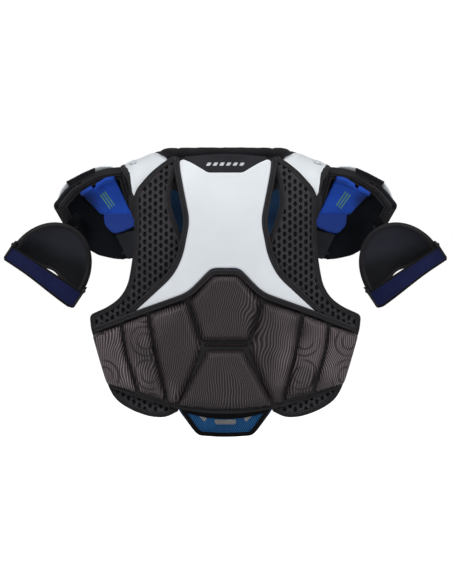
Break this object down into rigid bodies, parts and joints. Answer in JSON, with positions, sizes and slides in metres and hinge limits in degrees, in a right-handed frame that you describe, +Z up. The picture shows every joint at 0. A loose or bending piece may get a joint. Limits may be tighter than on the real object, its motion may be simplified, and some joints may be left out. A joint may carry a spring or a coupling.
{
  "type": "hockey shoulder pads",
  "caption": "Hockey shoulder pads with a white spine plate, moulded lumbar pads, open mesh sides, shoulder caps, chest panel and strap-on upper arm guards.",
  "frame": {"origin": "centre of the neck opening, level with the top of the collar", "axes": "+Y the way the wearer faces, +X the wearer's right, +Z up through the neck opening"},
  "size_m": [0.688, 0.2884, 0.448],
  "materials": {
    "shell_white": "moulded, satin",
    "mesh_charcoal": "open knitted mesh",
    "binding_black": "woven tape",
    "collar_black": "brushed lining",
    "yoke_black": "laminated cloth",
    "lumbar_cloth": "pressed pads with a contour pattern",
    "carrier_black": "laminated foam",
    "liner_blue": "open mesh lining",
    "cap_liner_blue": "brushed padding",
    "rivet_steel": "satin",
    "loop_webbing": "woven webbing",
    "side_elastic": "ribbed elastic",
    "tab_rubber": "moulded",
    "arm_elastic": "ribbed elastic",
    "guard_black": "moulded",
    "guard_lining": "knitted lining"
  },
  "bodies": {
    "back": {"spine_plate": "shell_white", "spine_foam": "carrier_black", "spine_binding": "binding_black", "yoke_panel": "yoke_black", "collar_roll": "collar_black", "back_mesh_left": "mesh_charcoal", "back_mesh_right": "mesh_charcoal", "mesh_binding_left": "binding_black", "mesh_binding_right": "binding_black", "lumbar_carrier": "carrier_black", "lumbar_pad_upper": "lumbar_cloth", "lumbar_pad_lower": "lumbar_cloth", "lumbar_pad_inner_left": "lumbar_cloth", "lumbar_pad_inner_right": "lumbar_cloth", "lumbar_pad_mid_left": "lumbar_cloth", "lumbar_pad_mid_right": "lumbar_cloth", "lumbar_pad_outer_left": "lumbar_cloth", "lumbar_pad_outer_right": "lumbar_cloth", "lumbar_binding": "binding_black", "lumbar_liner": "liner_blue", "shoulder_arch_left": "shell_white", "shoulder_arch_right": "shell_white", "arch_pad_left": "carrier_black", "arch_pad_right": "carrier_black", "arch_rivets": "rivet_steel", "hanging_loop": "loop_webbing"},
    "front": {"front_carrier": "carrier_black", "front_liner": "liner_blue", "chest_plate_left": "shell_white", "chest_plate_right": "shell_white", "sternum_plate": "shell_white", "front_collar": "collar_black", "rib_pad_left": "lumbar_cloth", "rib_pad_right": "lumbar_cloth", "front_binding": "binding_black"},
    "belly": {"belly_pad": "carrier_black", "belly_liner": "liner_blue", "belly_binding": "binding_black"},
    "side_strap_left": {"side_strap_left": "side_elastic", "side_strap_tab_left": "tab_rubber"},
    "cap_left": {"cap_shell_left": "shell_white", "cap_foam_left": "carrier_black", "cap_liner_left": "cap_liner_blue", "cap_binding_left": "binding_black"},
    "tether_left": {"bicep_tether_left": "loop_webbing"},
    "bicep_left": {"bicep_shell_left": "guard_black", "bicep_pad_left": "guard_lining"},
    "arm_strap_left": {"bicep_strap_left": "arm_elastic"},
    "side_strap_right": {"side_strap_right": "side_elastic", "side_strap_tab_right": "tab_rubber"},
    "cap_right": {"cap_shell_right": "shell_white", "cap_foam_right": "carrier_black", "cap_liner_right": "cap_liner_blue", "cap_binding_right": "binding_black"},
    "tether_right": {"bicep_tether_right": "loop_webbing"},
    "bicep_right": {"bicep_shell_right": "guard_black", "bicep_pad_right": "guard_lining"},
    "arm_strap_right": {"bicep_strap_right": "arm_elastic"}
  },
  "joints": [
    {"name": "front_open", "type": "hinge", "parent": "back", "child": "front", "pos_m": [0, 0.05, -0.04], "axis": [1, 0, 0], "range_deg": [0, 35], "stiffness_Nm_per_rad": 40},
    {"name": "belly_fold", "type": "hinge", "parent": "front", "child": "belly", "pos_m": [0, 0.116, -0.372], "axis": [1, 0, 0], "range_deg": [-12, 25], "stiffness_Nm_per_rad": 2},
    {"name": "side_strap_left_open", "type": "hinge", "parent": "back", "child": "side_strap_left", "pos_m": [-0.186, -0.04, -0.318], "axis": [0, 0, 1], "range_deg": [0, 75], "stiffness_Nm_per_rad": 0.5},
    {"name": "cap_left_lift", "type": "hinge", "parent": "back", "child": "cap_left", "pos_m": [-0.1565, -0.02, -0.027], "axis": [0, 1, 0], "range_deg": [-10, 40], "stiffness_Nm_per_rad": 15},
    {"name": "bicep_left_swing", "type": "hinge", "parent": "cap_left", "child": "tether_left", "pos_m": [-0.2325, -0.01, -0.108], "axis": [0, 1, 0], "range_deg": [-20, 35], "stiffness_Nm_per_rad": 6},
    {"name": "bicep_left_reach", "type": "slide", "parent": "tether_left", "child": "bicep_left", "axis": [-0.5505, 0, -0.8348], "range_m": [0, 0.015], "stiffness_N_per_m": 2000},
    {"name": "arm_strap_left_open", "type": "hinge", "parent": "bicep_left", "child": "arm_strap_left", "pos_m": [-0.22223, -0.041, -0.22478], "axis": [0.5505, 0, 0.8348], "range_deg": [0, 90], "stiffness_Nm_per_rad": 0.5},
    {"name": "side_strap_right_open", "type": "hinge", "parent": "back", "child": "side_strap_right", "pos_m": [0.186, -0.04, -0.318], "axis": [0, 0, -1], "range_deg": [0, 75], "stiffness_Nm_per_rad": 0.5},
    {"name": "cap_right_lift", "type": "hinge", "parent": "back", "child": "cap_right", "pos_m": [0.1565, -0.02, -0.027], "axis": [0, -1, 0], "range_deg": [-10, 40], "stiffness_Nm_per_rad": 15},
    {"name": "bicep_right_swing", "type": "hinge", "parent": "cap_right", "child": "tether_right", "pos_m": [0.2325, -0.01, -0.108], "axis": [0, -1, 0], "range_deg": [-20, 35], "stiffness_Nm_per_rad": 6},
    {"name": "bicep_right_reach", "type": "slide", "parent": "tether_right", "child": "bicep_right", "axis": [0.5505, 0, -0.8348], "range_m": [0, 0.015], "stiffness_N_per_m": 2000},
    {"name": "arm_strap_right_open", "type": "hinge", "parent": "bicep_right", "child": "arm_strap_right", "pos_m": [0.22223, -0.041, -0.22478], "axis": [0.5505, 0, -0.8348], "range_deg": [0, 90], "stiffness_Nm_per_rad": 0.5}
  ],
  "couplings": [
    {"joint": "side_strap_left_open", "follows": "front_open", "ratio": 2},
    {"joint": "side_strap_right_open", "follows": "front_open", "ratio": 2}
  ]
}
